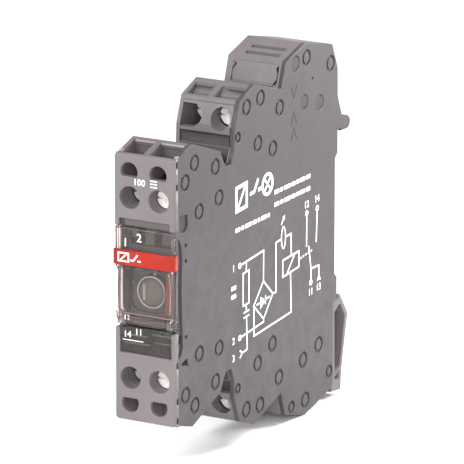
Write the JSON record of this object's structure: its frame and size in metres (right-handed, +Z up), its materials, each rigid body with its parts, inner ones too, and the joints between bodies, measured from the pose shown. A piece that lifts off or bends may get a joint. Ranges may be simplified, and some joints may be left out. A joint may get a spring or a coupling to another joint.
{
  "type": "industrial control relay",
  "caption": "Slim interface relay for a top-hat rail: stepped casing with screw terminals, clear front flap, marker cover and spring rail foot.",
  "frame": {"origin": "middle of the rail seat: mid-width, on the plane of the two seats, half-way between the rail's flanges", "axes": "+X along the rail, +Y towards the rail, +Z up"},
  "size_m": [0.0132, 0.0715, 0.0764],
  "materials": {
    "casing_grey": "fine moulded texture",
    "cover_grey": "fine moulded texture",
    "plate_grey": "fine moulded texture",
    "tier_plate_grey": "fine moulded texture",
    "bezel_dark": "matt",
    "clear_plastic": "clear, slightly smoked",
    "red_plastic": "satin",
    "bright_steel": "nickel plated",
    "smoked_plastic": "smoked",
    "lens_plastic": "frosted clear",
    "led_body": "diffused",
    "board_green": "solder mask",
    "marker_grey": "satin",
    "foot_grey": "fine moulded texture",
    "relay_black": "matt",
    "relay_case": "translucent",
    "bobbin_white": "matt",
    "copper_wire": "enamelled wire",
    "soft_iron": "plated iron",
    "contact_bronze": "spring bronze",
    "tinned_pin": "tinned",
    "capacitor_film": "dipped",
    "resistor_body": "cement",
    "busbar_brass": "brass strip",
    "clamp_steel": "zinc plated"
  },
  "bodies": {
    "housing": {"housing_shell": "casing_grey", "side_cover": "cover_grey", "top_terminal_plate": "plate_grey", "bottom_terminal_plate": "plate_grey", "upper_tier_plate": "tier_plate_grey", "lower_tier_plate": "tier_plate_grey", "front_bezel": "bezel_dark", "cover_hinge_pin": "clear_plastic", "label_window": "smoked_plastic", "light_guide": "lens_plastic", "status_led": "led_body", "led_board": "board_green", "circuit_board": "board_green", "relay_base": "relay_black", "relay_case": "relay_case", "coil_bobbin": "bobbin_white", "coil_winding": "copper_wire", "magnet_core": "soft_iron", "magnet_yoke": "soft_iron", "make_contact": "contact_bronze", "break_contact": "contact_bronze", "relay_pins": "tinned_pin", "bridge_rectifier": "relay_black", "series_capacitor": "capacitor_film", "series_resistor": "resistor_body", "front_busbars": "busbar_brass", "tier_busbars": "busbar_brass", "terminal_boxes": "clamp_steel"},
    "front_flap": {"clear_cover": "clear_plastic", "red_band": "red_plastic"},
    "marker": {"marker_cover": "marker_grey"},
    "foot": {"rail_foot": "foot_grey"},
    "armature": {"armature": "soft_iron"},
    "contact_arm": {"moving_contact": "contact_bronze"},
    "clamp_1": {"clamp_plate_1": "clamp_steel"},
    "screw_1": {"screw_1": "bright_steel"},
    "clamp_2": {"clamp_plate_2": "clamp_steel"},
    "screw_2": {"screw_2": "bright_steel"},
    "clamp_3": {"clamp_plate_3": "clamp_steel"},
    "screw_3": {"screw_3": "bright_steel"},
    "clamp_4": {"clamp_plate_4": "clamp_steel"},
    "screw_4": {"screw_4": "bright_steel"},
    "clamp_5": {"clamp_plate_5": "clamp_steel"},
    "screw_5": {"screw_5": "bright_steel"},
    "clamp_6": {"clamp_plate_6": "clamp_steel"},
    "screw_6": {"screw_6": "bright_steel"},
    "clamp_7": {"clamp_plate_7": "clamp_steel"},
    "screw_7": {"screw_7": "bright_steel"},
    "clamp_8": {"clamp_plate_8": "clamp_steel"},
    "screw_8": {"screw_8": "bright_steel"}
  },
  "joints": [
    {"name": "flap_hinge", "type": "hinge", "parent": "housing", "child": "front_flap", "pos_m": [0, -0.0642, -0.0065], "axis": [1, 0, 0], "range_deg": [0, 80]},
    {"name": "marker_pull", "type": "slide", "parent": "housing", "child": "marker", "axis": [0, -0.9466, 0.3223], "range_m": [0, 0.008]},
    {"name": "foot_slide", "type": "slide", "parent": "housing", "child": "foot", "axis": [0, 0, -1], "range_m": [0, 0.0025], "stiffness_N_per_m": 300, "springref_m": -0.0005},
    {"name": "armature_tilt", "type": "hinge", "parent": "housing", "child": "armature", "pos_m": [0, -0.0419, 0.0026], "axis": [1, 0, 0], "range_deg": [0, 4], "stiffness_Nm_per_rad": 0.01, "springref_deg": -2.86},
    {"name": "contact_lift", "type": "hinge", "parent": "housing", "child": "contact_arm", "pos_m": [0, -0.0205, 0.00635], "axis": [-1, 0, 0], "range_deg": [0, 2.6]},
    {"name": "clamp_slide_1", "type": "slide", "parent": "housing", "child": "clamp_1", "axis": [0, 1, 0], "range_m": [-0.002, 0]},
    {"name": "screw_turn_1", "type": "hinge", "parent": "clamp_1", "child": "screw_1", "pos_m": [-0.0033, -0.0623, 0.0178], "axis": [0, 1, 0], "range_deg": [-1440, 0]},
    {"name": "clamp_slide_2", "type": "slide", "parent": "housing", "child": "clamp_2", "axis": [0, 1, 0], "range_m": [0, 0.002]},
    {"name": "screw_turn_2", "type": "hinge", "parent": "clamp_2", "child": "screw_2", "pos_m": [0.003, -0.0623, 0.0178], "axis": [0, 1, 0], "range_deg": [0, 1440]},
    {"name": "clamp_slide_3", "type": "slide", "parent": "housing", "child": "clamp_3", "axis": [0, 1, 0], "range_m": [-0.002, 0]},
    {"name": "screw_turn_3", "type": "hinge", "parent": "clamp_3", "child": "screw_3", "pos_m": [-0.0033, -0.0623, -0.0178], "axis": [0, 1, 0], "range_deg": [-1440, 0]},
    {"name": "clamp_slide_4", "type": "slide", "parent": "housing", "child": "clamp_4", "axis": [0, 1, 0], "range_m": [0, 0.002]},
    {"name": "screw_turn_4", "type": "hinge", "parent": "clamp_4", "child": "screw_4", "pos_m": [0.003, -0.0623, -0.0178], "axis": [0, 1, 0], "range_deg": [0, 1440]},
    {"name": "clamp_slide_5", "type": "slide", "parent": "housing", "child": "clamp_5", "axis": [0, 1, 0], "range_m": [-0.002, 0]},
    {"name": "screw_turn_5", "type": "hinge", "parent": "clamp_5", "child": "screw_5", "pos_m": [-0.0033, -0.038, 0.0286], "axis": [0, 1, 0], "range_deg": [-1440, 0]},
    {"name": "clamp_slide_6", "type": "slide", "parent": "housing", "child": "clamp_6", "axis": [0, 1, 0], "range_m": [0, 0.002]},
    {"name": "screw_turn_6", "type": "hinge", "parent": "clamp_6", "child": "screw_6", "pos_m": [0.003, -0.038, 0.0286], "axis": [0, 1, 0], "range_deg": [0, 1440]},
    {"name": "clamp_slide_7", "type": "slide", "parent": "housing", "child": "clamp_7", "axis": [0, 1, 0], "range_m": [-0.002, 0]},
    {"name": "screw_turn_7", "type": "hinge", "parent": "clamp_7", "child": "screw_7", "pos_m": [-0.0033, -0.038, -0.0286], "axis": [0, 1, 0], "range_deg": [-1440, 0]},
    {"name": "clamp_slide_8", "type": "slide", "parent": "housing", "child": "clamp_8", "axis": [0, 1, 0], "range_m": [0, 0.002]},
    {"name": "screw_turn_8", "type": "hinge", "parent": "clamp_8", "child": "screw_8", "pos_m": [0.003, -0.038, -0.0286], "axis": [0, 1, 0], "range_deg": [0, 1440]}
  ],
  "couplings": [
    {"joint": "contact_lift", "follows": "armature_tilt", "ratio": 0.636},
    {"joint": "screw_turn_1", "follows": "clamp_slide_1", "rad_per_m": 12566},
    {"joint": "screw_turn_2", "follows": "clamp_slide_2", "rad_per_m": 12566},
    {"joint": "screw_turn_3", "follows": "clamp_slide_3", "rad_per_m": 12566},
    {"joint": "screw_turn_4", "follows": "clamp_slide_4", "rad_per_m": 12566},
    {"joint": "screw_turn_5", "follows": "clamp_slide_5", "rad_per_m": 12566},
    {"joint": "screw_turn_6", "follows": "clamp_slide_6", "rad_per_m": 12566},
    {"joint": "screw_turn_7", "follows": "clamp_slide_7", "rad_per_m": 12566},
    {"joint": "screw_turn_8", "follows": "clamp_slide_8", "rad_per_m": 12566}
  ]
}
